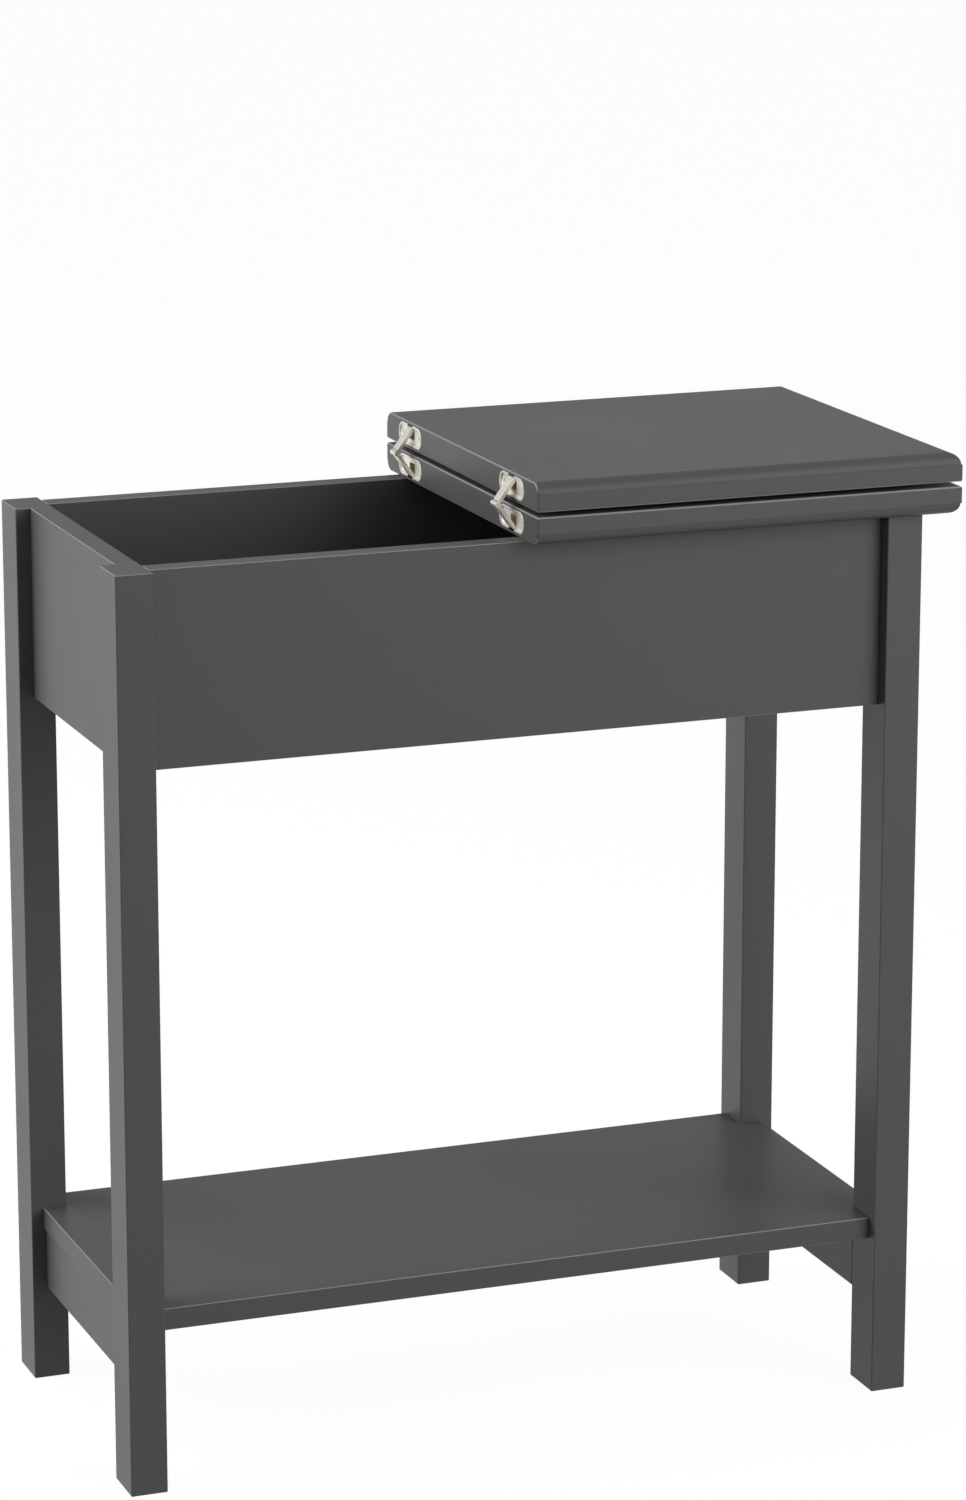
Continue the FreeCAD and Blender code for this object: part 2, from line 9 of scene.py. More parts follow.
import bmesh
import bpy
from bpy.props import FloatProperty, FloatVectorProperty, IntProperty, PointerProperty
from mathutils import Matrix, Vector


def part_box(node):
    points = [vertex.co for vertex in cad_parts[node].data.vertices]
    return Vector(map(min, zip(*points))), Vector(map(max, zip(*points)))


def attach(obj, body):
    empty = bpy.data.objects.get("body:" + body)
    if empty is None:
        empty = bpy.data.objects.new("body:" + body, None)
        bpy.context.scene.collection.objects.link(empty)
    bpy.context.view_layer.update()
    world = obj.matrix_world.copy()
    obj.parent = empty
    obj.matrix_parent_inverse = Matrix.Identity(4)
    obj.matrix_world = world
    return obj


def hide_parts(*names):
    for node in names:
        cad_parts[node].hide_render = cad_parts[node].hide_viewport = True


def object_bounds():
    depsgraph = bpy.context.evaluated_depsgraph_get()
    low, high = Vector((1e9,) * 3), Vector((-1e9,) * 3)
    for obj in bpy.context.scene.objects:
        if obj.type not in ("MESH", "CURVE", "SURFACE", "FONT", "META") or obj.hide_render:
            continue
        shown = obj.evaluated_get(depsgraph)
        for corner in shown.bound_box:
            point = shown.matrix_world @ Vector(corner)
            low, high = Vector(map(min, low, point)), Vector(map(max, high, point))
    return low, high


bl_info = {
    "name": "Flip-top end table finish",
    "version": (1, 0, 0),
    "blender": (4, 5, 0),
    "location": "View3D > Sidebar > End Table",
    "description": "Paints the table, finishes its hinges and fittings and sets up the studio",
    "category": "Object",
}

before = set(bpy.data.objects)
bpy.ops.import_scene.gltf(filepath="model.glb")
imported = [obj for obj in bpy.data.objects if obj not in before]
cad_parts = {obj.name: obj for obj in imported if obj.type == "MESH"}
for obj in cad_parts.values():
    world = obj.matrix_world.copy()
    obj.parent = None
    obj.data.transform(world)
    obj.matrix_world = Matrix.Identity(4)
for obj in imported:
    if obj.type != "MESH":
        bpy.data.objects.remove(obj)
CAD_LOW, CAD_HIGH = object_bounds()
MM = 0.001

PAINTED_NODES = (
    "leg_front_left", "leg_front_right", "leg_back_left", "leg_back_right",
    "apron_front", "apron_back", "apron_left", "apron_right",
    "shelf_rail_left", "shelf_rail_right", "shelf", "storage_floor",
)
TOP_NODES = ("top_fixed_half", "top_lid_half")
HINGE_ENDS = ("front", "back")
PIN_NAMES = ("fixed", "lid", "crossing", "slide_fixed", "slide_lid")
ZINC_NODES = ("cam_bolts", "cam_locks", "top_brackets", "shelf_brackets")

# Paint film. A pair gives the values between which an effect fades in or out.
# FLAT_TO_ROUND and UPRIGHT_TO_LEVEL pick the rounded upward edges on which a painted highlight
# lightens the paint.
FLAT_TO_ROUND = (0.98, 0.88)         # largest part of the surface direction
UPRIGHT_TO_LEVEL = (0.15, 0.45)      # its upward part
CLOUD_SCALE, CLOUD_SHARE = 7.0, 0.75     # wide soft clouds in the film's tone
GRAIN_SCALE, GRAIN_SHARE = 90.0, 0.25    # fine grain in it
GLOSS_SPREAD = 0.16                  # how far the film's roughness follows its tone
# SHOW_ROUND, HINGE_ROUND and FACING_SIDE pick the narrow rounds of the top that get the painted
# edge highlight.
SHOW_ROUND = 1.0 * MM                # height of the narrow rounds at the show faces
HINGE_ROUND = (4.0 * MM, 3.0 * MM)   # distance from the hinge side
FACING_SIDE = (0.2, 0.4)             # sideways part of the surface direction

# Hinge cups and link plates
# Painted shade: the far ends of the cups' slots, beside the stack of plates, are painted near
# black for the shadow in the slot.
SLOT_SHADE_END = (2.6 * MM, 1.8 * MM)    # distance from the end of a cup
SLOT_SHADE_SIDE = (0.6 * MM, 0.1 * MM)   # distance from the side of the stack of plates
# Painted shade: below the cups' face the tone is painted browner and duller, for the shade down
# in the recess.
RECESS_DEPTH = (0.9 * MM, 3.2 * MM)  # depth below the cups' face
SPECKLE_SCALE = 1400.0
SPECKLE_TONE = (0.95, 1.03)          # factor on the cups' colour
SPECKLE_ROUGHNESS = (0.27, 0.33)
SPECKLE_HEIGHT = 0.002 * MM
PLATE_STREAKS, PLATE_DEPTH = (900.0, 2500.0, 900.0), 0.22    # scale along X, Y, Z and depth
PLATE_ROUGHNESS = 0.34

# Other metal, the dowels and the floor
METAL_STREAKS, METAL_DEPTH = (400.0, 400.0, 400.0), 0.18
PIN_ROUGHNESS = 0.28
CUP_SCREW_ROUGHNESS = 0.24
BRACKET_SCREW_ROUGHNESS = 0.4
ZINC_ROUGHNESS = 0.38
BEECH_GRAIN, BEECH_ROUGHNESS = 260.0, 0.6
FLOOR_SIDES, FLOOR_ROUGHNESS = 96, 0.9

# Screws
COUNTERSUNK, DOMED = 0.0, 1.0    # form of a screw's head
HEAD_END = 2.2 * MM      # the wider of a screw's two ends, within this much of it, is its head
LEAST_HEAD = 0.5 * MM    # no head is lower than this
SHANK_SLACK = 1.02       # a point this near the shank's radius belongs to the shank
FACE_SLACK = 0.01 * MM   # keeps the last ring of the head with the head
TIP_SHARE = 0.12         # radius of the tip as a share of the thread's
SMOOTH_ANGLE = math.radians(35)

# Studio
SWEEP_TOP = (0.02, 0.24)    # heights of the sky direction between which the sweep dims
CAMERA_REACH = 100.0        # farthest thing that the camera shows


# ---- Settings -----------------------------------------------------------------------------
class PaintSettings(bpy.types.PropertyGroup):
    color: FloatVectorProperty(
        name="Colour", description="Colour of the satin paint", subtype="COLOR", size=3,
        min=0, max=1, default=(0.105, 0.105, 0.107))
    roughness: FloatProperty(
        name="Roughness", description="Roughness of the paint film", subtype="FACTOR",
        min=0, max=1, default=0.42)
    gloss: FloatProperty(
        name="Gloss", description="Strength of the paint film's own reflection",
        subtype="FACTOR", min=0, max=1, default=0.25)
    mottle: FloatProperty(
        name="Mottle", description="Depth of the soft tone changes", subtype="FACTOR",
        min=0, max=1, default=0.06)
    peel_size: FloatProperty(
        name="Peel size", description="Width of the ripples in the sprayed film",
        unit="LENGTH", default=1.6 * MM)
    peel_height: FloatProperty(
        name="Peel height", description="Height of the ripples in the sprayed film",
        unit="LENGTH", default=0.012 * MM)
    # Painted highlight: the paint is painted lighter on rounded upward edges, standing in for
    # light catching them.
    edge_highlight_lift: FloatProperty(
        name="Edge lift", description="How much lighter the rubbed edges are",
        min=0, max=4, default=2.3)


class HingeSettings(bpy.types.PropertyGroup):
    cup_color: FloatVectorProperty(
        name="Cup", description="Colour of the cups' plating", subtype="COLOR", size=3,
        min=0, max=1, default=(1.0, 0.975, 0.91))
    cup_metal: FloatProperty(
        name="Cup metal", description="How metallic the cups' pale plating is",
        subtype="FACTOR", min=0, max=1, default=0.28)
    # Painted shade: browner tone painted down in the cups' recess.
    recess_shade_color: FloatVectorProperty(
        name="Recess", description="Darker tone inside the cups", subtype="COLOR", size=3,
        min=0, max=1, default=(0.90, 0.79, 0.64))
    # Painted shade: near-black tone painted at the far ends of the cups' slots, for the shadow
    # there.
    slot_shade_color: FloatVectorProperty(
        name="Grease", description="Dark grease at the ends of the cups' slots",
        subtype="COLOR", size=3, min=0, max=1, default=(0.02, 0.016, 0.012))
    link_metal: FloatProperty(
        name="Link metal", description="How metallic the link plates' plating is",
        subtype="FACTOR", min=0, max=1, default=0.5)
    link_color: FloatVectorProperty(
        name="Links", description="Colour of the link plates", subtype="COLOR", size=3,
        min=0, max=1, default=(0.95, 0.895, 0.79))
    screw_color: FloatVectorProperty(
        name="Screws", description="Colour of the cups' screws", subtype="COLOR", size=3,
        min=0, max=1, default=(1.0, 0.99, 0.96))
    screw_metal: FloatProperty(
        name="Screw metal", description="How metallic the cups' screws are",
        subtype="FACTOR", min=0, max=1, default=0.2)
    pin_color: FloatVectorProperty(
        name="Pins", description="Colour of the turned pins", subtype="COLOR", size=3,
        min=0, max=1, default=(0.62, 0.60, 0.56))


class FittingSettings(bpy.types.PropertyGroup):
    zinc_color: FloatVectorProperty(
        name="Zinc", description="Colour of the cam fittings and brackets", subtype="COLOR",
        size=3, min=0, max=1, default=(0.60, 0.60, 0.58))
    screw_color: FloatVectorProperty(
        name="Bracket screws", description="Colour of the brackets' screws", subtype="COLOR",
        size=3, min=0, max=1, default=(0.05, 0.05, 0.05))
    beech_dark: FloatVectorProperty(
        name="Dark grain", description="Darker tone of the beech dowels", subtype="COLOR",
        size=3, min=0, max=1, default=(0.52, 0.35, 0.20))
    beech_light: FloatVectorProperty(
        name="Light grain", description="Lighter tone of the beech dowels", subtype="COLOR",
        size=3, min=0, max=1, default=(0.66, 0.48, 0.30))


class ScrewSettings(bpy.types.PropertyGroup):
    cross_width: FloatProperty(
        name="Cross width", description="Width of each arm of the cross in the heads",
        unit="LENGTH", default=0.8 * MM)
    cross_reach: FloatProperty(
        name="Cross reach", description="Length of each arm of the cross from the middle",
        unit="LENGTH", default=1.9 * MM)
    cross_depth: FloatProperty(
        name="Cross depth", description="Depth of the cross in the heads",
        unit="LENGTH", default=1.1 * MM)
    thread_pitch: FloatProperty(
        name="Thread pitch", description="Distance between thread turns", unit="LENGTH",
        default=1.4 * MM)
    thread_depth: FloatProperty(
        name="Thread depth", description="Height of the thread above its core", unit="LENGTH",
        default=0.55 * MM)
    tip_length: FloatProperty(
        name="Tip length", description="Length of the tapered tip", unit="LENGTH",
        default=3.0 * MM)
    ring_step: FloatProperty(
        name="Ring step", description="Distance between the rings of faces along a screw",
        unit="LENGTH", default=0.2 * MM)
    sides: IntProperty(
        name="Sides", description="Sides of each round screw", min=8, max=64, default=32)
    seed: IntProperty(
        name="Seed", description="Start of the random turn of each screw", default=4)


class StudioSettings(bpy.types.PropertyGroup):
    camera_place: FloatVectorProperty(
        name="Camera", description="Place of the camera", subtype="TRANSLATION", size=3,
        default=(-1.1675, -3.0869, 1.2684))
    camera_azimuth: FloatProperty(
        name="Azimuth", description="Direction that the camera looks in, seen from above",
        subtype="ANGLE", default=math.radians(-20.81))
    camera_fall: FloatProperty(
        name="Fall", description="How far below the horizon the camera looks",
        subtype="ANGLE", default=math.radians(13.98))
    lens: FloatProperty(
        name="Lens", description="Focal length", unit="CAMERA", default=120.86)
    sensor: FloatProperty(
        name="Sensor", description="Sensor size on the long side", unit="CAMERA", default=36.0)
    ambient: FloatProperty(
        name="Ambient", description="Even light from all round", min=0, default=0.26)
    ceiling: FloatProperty(
        name="Ceiling", description="Brightness of the studio overhead, as reflections show it",
        subtype="FACTOR", min=0, max=1, default=0.40)
    left_power: FloatProperty(
        name="Left power", description="Power of the back left softbox", unit="POWER", min=0,
        default=42.0)
    left_place: FloatVectorProperty(
        name="Left place", description="Middle of the back left softbox",
        subtype="TRANSLATION", size=3, default=(-2.00, 0.88, 1.38))
    left_size: FloatProperty(
        name="Left size", description="Side of the back left softbox", unit="LENGTH",
        default=2.2)
    front_power: FloatProperty(
        name="Front power", description="Power of the front right softbox", unit="POWER",
        min=0, default=39.0)
    front_place: FloatVectorProperty(
        name="Front place", description="Middle of the front right softbox",
        subtype="TRANSLATION", size=3, default=(1.30, -2.05, 1.30))
    front_size: FloatProperty(
        name="Front size", description="Side of the front right softbox", unit="LENGTH",
        default=2.2)
    floor_color: FloatVectorProperty(
        name="Floor", description="Colour of the floor", subtype="COLOR", size=3,
        min=0, max=1, default=(0.08, 0.08, 0.08))
    floor_lift: FloatProperty(
        name="Floor lift", description="How much the floor glows for the camera and in "
        "reflections", min=0, default=0.955)
    floor_reach: FloatProperty(
        name="Floor reach", description="Radius of the floor", unit="LENGTH", default=30.0)


# ---- Node helpers -------------------------------------------------------------------------
def add_node(tree, kind, values=None, **settings):
    """Adds a node, sets its own settings, and its inputs by name or index."""
    made = tree.nodes.new(kind)
    for name, value in settings.items():
        setattr(made, name, value)
    for key, value in (values or {}).items():
        if isinstance(value, bpy.types.NodeSocket):
            tree.links.new(value, made.inputs[key])
        else:
            made.inputs[key].default_value = value
    return made


def new_group(name, inputs, outputs):
    """Empty shader node group: inputs and outputs are (name, socket type, default)."""
    tree = bpy.data.node_groups.new(name, "ShaderNodeTree")
    for label, kind, default in inputs:
        made = tree.interface.new_socket(name=label, in_out="INPUT", socket_type=kind)
        made.default_value = default
    for label, kind in outputs:
        tree.interface.new_socket(name=label, in_out="OUTPUT", socket_type=kind)
    start = tree.nodes.new("NodeGroupInput")
    end = tree.nodes.new("NodeGroupOutput")
    return tree, start.outputs, end.inputs


def scale_color(tree, color, factor):
    return add_node(tree, "ShaderNodeVectorMath", {0: color, "Scale": factor},
                    operation="SCALE").outputs[0]


def mix_color(tree, factor, a, b):
    return add_node(tree, "ShaderNodeMix", {0: factor, 6: a, 7: b}, data_type="RGBA").outputs[2]


def noise(tree, vector, scale, detail=2.0, roughness=0.5):
    return add_node(tree, "ShaderNodeTexNoise",
                    {"Vector": vector, "Scale": scale, "Detail": detail,
                     "Roughness": roughness}).outputs["Fac"]


def ramp(tree, value, low, high, to_low=0.0, to_high=1.0):
    """Smooth change from to_low, where the value is low, to to_high, where it is high."""
    return add_node(tree, "ShaderNodeMapRange",
                    {"Value": value, "From Min": low, "From Max": high, "To Min": to_low,
                     "To Max": to_high}, interpolation_type="SMOOTHSTEP").outputs[0]


def mix_value(tree, factor, a, b):
    """From value a, where the factor is 0, to value b, where it is 1."""
    return add_node(tree, "ShaderNodeMapRange",
                    {"Value": factor, "To Min": a, "To Max": b}).outputs[0]


def math_node(tree, operation, a, b=0.0):
    return add_node(tree, "ShaderNodeMath", {0: a, 1: b}, operation=operation).outputs[0]


def multiply_add(tree, a, b, c):
    return add_node(tree, "ShaderNodeMath", {0: a, 1: b, 2: c},
                    operation="MULTIPLY_ADD").outputs[0]


# ---- Effects shared by several materials --------------------------------------------------
def edge_group():
    """Mask for the painted edge highlight: 0 on faces square to the axes, rising to 1 on rounded
    level edges.
    """
    tree, _, end = new_group("painted_edge_highlight_mask", (), (("Mask", "NodeSocketFloat"),))
    coord = add_node(tree, "ShaderNodeTexCoord")
    size = add_node(tree, "ShaderNodeVectorMath", {0: coord.outputs["Normal"]},
                    operation="ABSOLUTE").outputs[0]
    parts = add_node(tree, "ShaderNodeSeparateXYZ", {0: size}).outputs
    largest = math_node(tree, "MAXIMUM", math_node(tree, "MAXIMUM", parts[0], parts[1]), parts[2])
    rounded = ramp(tree, largest, *FLAT_TO_ROUND)
    level = ramp(tree, parts[2], *UPRIGHT_TO_LEVEL)
    tree.links.new(math_node(tree, "MULTIPLY", rounded, level), end["Mask"])
    return tree


def film_group():
    """Sprayed film: soft mottle in its tone and gloss, and fine ripples in its surface."""
    tree, start, end = new_group(
        "sprayed_film",
        (("Color", "NodeSocketColor", (0.1, 0.1, 0.1, 1.0)),
         ("Roughness", "NodeSocketFloat", 0.4),
         ("Mottle", "NodeSocketFloat", 0.06),
         ("Peel Scale", "NodeSocketFloat", 600.0),
         ("Peel Height", "NodeSocketFloat", 0.00001)),
        (("Color", "NodeSocketColor"), ("Roughness", "NodeSocketFloat"),
         ("Normal", "NodeSocketVector")))
    place = add_node(tree, "ShaderNodeTexCoord").outputs["Object"]
    cloud = noise(tree, place, CLOUD_SCALE, detail=3.0)
    grain = noise(tree, place, GRAIN_SCALE, detail=4.0, roughness=0.6)
    both = multiply_add(tree, grain, GRAIN_SHARE,
                        math_node(tree, "MULTIPLY", cloud, CLOUD_SHARE))
    centred = math_node(tree, "SUBTRACT", both, 0.5)
    lift = multiply_add(tree, centred, start["Mottle"], 1.0)
    tree.links.new(scale_color(tree, start["Color"], lift), end["Color"])
    gloss = multiply_add(tree, centred, GLOSS_SPREAD, start["Roughness"])
    tree.links.new(gloss, end["Roughness"])
    peel = noise(tree, place, start["Peel Scale"], detail=1.0)
    bump = add_node(tree, "ShaderNodeBump", {"Height": peel, "Distance": start["Peel Height"]})
    tree.links.new(bump.outputs[0], end["Normal"])
    return tree


def brushed_group():
    """Fine streaks in the tone and gloss of metal, with a scale of their own along each axis."""
    tree, start, end = new_group(
        "brushed_metal",
        (("Color", "NodeSocketColor", (0.7, 0.7, 0.7, 1.0)),
         ("Roughness", "NodeSocketFloat", 0.3),
         ("Streak Scale", "NodeSocketVector", (200.0, 4000.0, 4000.0)),
         ("Depth", "NodeSocketFloat", 0.15)),
        (("Color", "NodeSocketColor"), ("Roughness", "NodeSocketFloat")))
    place = add_node(tree, "ShaderNodeTexCoord").outputs["Object"]
    stretched = add_node(tree, "ShaderNodeVectorMath", {0: place, 1: start["Streak Scale"]},
                         operation="MULTIPLY").outputs[0]
    streak = noise(tree, stretched, 1.0, detail=3.0, roughness=0.6)
    centred = math_node(tree, "SUBTRACT", streak, 0.5)
    lift = multiply_add(tree, centred, start["Depth"], 1.0)
    tree.links.new(scale_color(tree, start["Color"], lift), end["Color"])
    gloss = multiply_add(tree, centred, start["Depth"], start["Roughness"])
    tree.links.new(gloss, end["Roughness"])
    return tree


def new_material(name):
    material = bpy.data.materials.new(name)
    material.use_nodes = True
    tree = material.node_tree
    return material, tree, tree.nodes["Principled BSDF"].inputs


def place_group(tree, name, make, values=None):
    """Places a shared node group, which is made the first time, and returns its outputs."""
    group = bpy.data.node_groups.get(name) or make()
    return add_node(tree, "ShaderNodeGroup", values, node_tree=group).outputs


# ---- Materials ----------------------------------------------------------------------------
def narrow_rounds(tree):
    """Mask for the painted edge highlight on the top: 1 at its narrow rounds, which run round the
    show faces and along the hinges.
    """
    low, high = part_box("top_fixed_half")
    fold = (high.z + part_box("top_lid_half")[0].z) / 2
    coord = add_node(tree, "ShaderNodeTexCoord").outputs
    x, _, z = add_node(tree, "ShaderNodeSeparateXYZ", {0: coord["Object"]}).outputs
    from_fold = math_node(tree, "ABSOLUTE", math_node(tree, "SUBTRACT", z, fold))
    half = (high.z - low.z) / 2
    at_show = ramp(tree, from_fold, half, half - SHOW_ROUND)
    near_hinge = ramp(tree, x, low.x + HINGE_ROUND[0], low.x + HINGE_ROUND[1])
    sideways = add_node(tree, "ShaderNodeSeparateXYZ", {0: coord["Normal"]}).outputs[0]
    facing = ramp(tree, math_node(tree, "ABSOLUTE", sideways), *FACING_SIDE)
    at_hinge = math_node(tree, "MULTIPLY", near_hinge, facing)
    return math_node(tree, "MAXIMUM", at_show, at_hinge)


def paint_material(name, settings, edges_in=None):
    """Satin paint with a painted highlight on its rounded upward edges, or only on those where
    edges_in is 1.
    """
    material, tree, shader = new_material(name)
    film = place_group(tree, "sprayed_film", film_group, {
        "Color": (*settings.color, 1.0), "Roughness": settings.roughness,
        "Mottle": settings.mottle, "Peel Scale": 1.0 / settings.peel_size,
        "Peel Height": settings.peel_height})
    edge = place_group(tree, "painted_edge_highlight_mask", edge_group)["Mask"]
    if edges_in:
        edge = math_node(tree, "MULTIPLY", edge, edges_in(tree))
    # Painted highlight: rounded upward edges are painted lighter by the edge highlight factor.
    lighter = scale_color(tree, film["Color"], 1.0 + settings.edge_highlight_lift)
    tree.links.new(mix_color(tree, edge, film["Color"], lighter), shader["Base Color"])
    tree.links.new(film["Roughness"], shader["Roughness"])
    tree.links.new(film["Normal"], shader["Normal"])
    shader["Specular IOR Level"].default_value = settings.gloss
    return material


def shaded_slot_ends(tree, place):
    """1 at the ends of the cups' slots away from the seam, beside the plates, where painted shade
    stands for the shadow in the slot.
    """
    low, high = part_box("hinge_front_cup_lid")
    links_low, links_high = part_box("hinge_front_links_lid")
    _, y, z = add_node(tree, "ShaderNodeSeparateXYZ", {0: place}).outputs
    fold = (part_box("hinge_front_cup_fixed")[0].z + high.z) / 2
    from_fold = math_node(tree, "ABSOLUTE", math_node(tree, "SUBTRACT", z, fold))
    reach = high.z - fold
    at_end = ramp(tree, from_fold, reach - SLOT_SHADE_END[0], reach - SLOT_SHADE_END[1])
    from_middle = math_node(tree, "ABSOLUTE", y)
    hinge_y = abs(low.y + high.y) / 2
    from_arm = math_node(tree, "ABSOLUTE", math_node(tree, "SUBTRACT", from_middle, hinge_y))
    half_stack = (links_high.y - links_low.y) / 2
    on_arm = ramp(tree, from_arm, half_stack + SLOT_SHADE_SIDE[0], half_stack + SLOT_SHADE_SIDE[1])
    return math_node(tree, "MULTIPLY", at_end, on_arm)


def cup_material(settings):
    """Plated cup: pale on the face and rim, with painted shade: browner down in the recess and
    near black at the slot ends.
    """
    material, tree, shader = new_material("plated_cup")
    place = add_node(tree, "ShaderNodeTexCoord").outputs["Object"]
    depth = add_node(tree, "ShaderNodeSeparateXYZ", {0: place}).outputs[0]
    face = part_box("hinge_front_cup_fixed")[0].x
    # Painted shade: deeper in the recess the tone turns browner and loses its metal.
    deep = ramp(tree, depth, face + RECESS_DEPTH[0], face + RECESS_DEPTH[1])
    speckle = noise(tree, place, SPECKLE_SCALE, detail=3.0, roughness=0.7)
    tone = mix_color(tree, deep, (*settings.cup_color, 1.0), (*settings.recess_shade_color, 1.0))
    # Painted shade: near black at the slot ends.
    tone = mix_color(tree, shaded_slot_ends(tree, place), tone, (*settings.slot_shade_color, 1.0))
    lift = ramp(tree, speckle, 0.3, 0.7, *SPECKLE_TONE)
    tree.links.new(scale_color(tree, tone, lift), shader["Base Color"])
    tree.links.new(ramp(tree, deep, 0.0, 1.0, settings.cup_metal, 0.0), shader["Metallic"])
    roughness = ramp(tree, speckle, 0.25, 0.75, *SPECKLE_ROUGHNESS)
    tree.links.new(roughness, shader["Roughness"])
    bump = add_node(tree, "ShaderNodeBump", {"Height": speckle, "Distance": SPECKLE_HEIGHT})
    tree.links.new(bump.outputs[0], shader["Normal"])
    return material


def streaked_metal(name, color, roughness, metallic=1.0, streaks=METAL_STREAKS,
                   depth=METAL_DEPTH):
    """Machined, stamped or plated metal with fine streaks."""
    material, tree, shader = new_material(name)
    metal = place_group(tree, "brushed_metal", brushed_group, {
        "Color": (*color, 1.0), "Roughness": roughness, "Streak Scale": streaks,
        "Depth": depth})
    tree.links.new(metal["Color"], shader["Base Color"])
    tree.links.new(metal["Roughness"], shader["Roughness"])
    shader["Metallic"].default_value = metallic
    return material


def beech_material(settings):
    """Plain beech with a fine grain."""
    material, tree, shader = new_material("beech")
    place = add_node(tree, "ShaderNodeTexCoord").outputs["Object"]
    grain = ramp(tree, noise(tree, place, BEECH_GRAIN, detail=4.0), 0.35, 0.65)
    tone = mix_color(tree, grain, (*settings.beech_dark, 1.0), (*settings.beech_light, 1.0))
    tree.links.new(tone, shader["Base Color"])
    shader["Roughness"].default_value = BEECH_ROUGHNESS
    return material


def coat(node, material):
    """Gives a CAD node one material."""
    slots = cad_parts[node].data.materials
    slots.clear()
    slots.append(material)


# ---- Screws -------------------------------------------------------------------------------
SCREW_INPUTS = (
    ("Length", "NodeSocketFloat"), ("Shank Radius", "NodeSocketFloat"),
    ("Head Radius", "NodeSocketFloat"), ("Head Height", "NodeSocketFloat"),
    ("Head Dome", "NodeSocketFloat"), ("Cross Width", "NodeSocketFloat"),
    ("Cross Reach", "NodeSocketFloat"), ("Cross Depth", "NodeSocketFloat"),
    ("Thread Pitch", "NodeSocketFloat"), ("Thread Depth", "NodeSocketFloat"),
    ("Tip Length", "NodeSocketFloat"), ("Ring Step", "NodeSocketFloat"),
    ("Sides", "NodeSocketInt"), ("Seed", "NodeSocketInt"), ("Material", "NodeSocketMaterial"),
)


def solids_of(node):
    """The separate solids of a CAD node, each as a list of its points."""
    shape = bmesh.new()
    shape.from_mesh(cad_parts[node].data)
    bmesh.ops.remove_doubles(shape, verts=shape.verts, dist=0.001 * MM)
    reached = set()
    solids = []
    for first in shape.verts:
        if first in reached:
            continue
        reached.add(first)
        queue = [first]
        points = []
        while queue:
            vertex = queue.pop()
            points.append(vertex.co.copy())
            for edge in vertex.link_edges:
                other = edge.other_vert(vertex)
                if other not in reached:
                    reached.add(other)
                    queue.append(other)
        solids.append(points)
    shape.free()
    return solids


def widest(points, middle, axis):
    """Largest distance of the points from the line through the middle along the axis."""
    return max(((p - middle) - axis * (p - middle).dot(axis)).length for p in points)


def screw_sizes(points):
    """Head place, direction out of the head, length, shank radius and head radius."""
    low = Vector([min(p[i] for p in points) for i in range(3)])
    high = Vector([max(p[i] for p in points) for i in range(3)])
    middle = (low + high) / 2
    size = high - low
    long_way = max(range(3), key=lambda i: size[i])
    axis = Vector([1.0 if i == long_way else 0.0 for i in range(3)])
    half = size[long_way] / 2
    ends = {}
    for sign in (1.0, -1.0):
        near = [p for p in points if sign * (p - middle).dot(axis) > half - HEAD_END]
        ends[sign] = widest(near, middle, axis)
    sign = max(ends, key=ends.get)
    return middle + axis * sign * half, axis * sign, 2 * half, ends[-sign], ends[sign]


def head_height(points, place, outward, shank):
    """Depth below the head's face at which the screw is down to its shank."""
    deep = [(place - p).dot(outward) for p in points
            if widest([p], place, outward) < shank * SHANK_SLACK]
    return min((d for d in deep if d > LEAST_HEAD), default=HEAD_END)


def screw_radius(tree, inputs, depth, angle):
    """Radius of a screw as a field of the depth below its face and of the turn round it."""
    share = add_node(tree, "ShaderNodeMath", {0: depth, 1: inputs["Head Height"]},
                     operation="DIVIDE", use_clamp=True).outputs[0]
    cone = mix_value(tree, share, inputs["Head Radius"], inputs["Shank Radius"])
    rest = math_node(tree, "SUBTRACT", 1.0, share)
    square = math_node(tree, "MULTIPLY", rest, rest)
    arch = math_node(tree, "SQRT", math_node(tree, "SUBTRACT", 1.0, square))
    dome = mix_value(tree, arch, inputs["Shank Radius"], inputs["Head Radius"])
    head = mix_value(tree, inputs["Head Dome"], cone, dome)
    turns = math_node(tree, "DIVIDE", depth, inputs["Thread Pitch"])
    phase = math_node(tree, "FRACT", math_node(tree, "ADD", turns, angle))
    slope = math_node(tree, "ABSOLUTE", multiply_add(tree, phase, 2.0, -1.0))
    groove = math_node(tree, "MULTIPLY", slope, inputs["Thread Depth"])
    thread = math_node(tree, "SUBTRACT", inputs["Shank Radius"], groove)
    to_tip = math_node(tree, "SUBTRACT", inputs["Length"], depth)
    taper = add_node(tree, "ShaderNodeMapRange", {
        "Value": to_tip, "From Max": inputs["Tip Length"], "To Min": TIP_SHARE}).outputs[0]
    thread = math_node(tree, "MULTIPLY", thread, taper)
    head_base = math_node(tree, "ADD", inputs["Head Height"], FACE_SLACK)
    is_head = add_node(tree, "FunctionNodeCompare", {0: depth, 1: head_base},
                       data_type="FLOAT", operation="LESS_THAN").outputs[0]
    return add_node(tree, "GeometryNodeSwitch", {0: is_head, 1: thread, 2: head},
                    input_type="FLOAT").outputs[0]


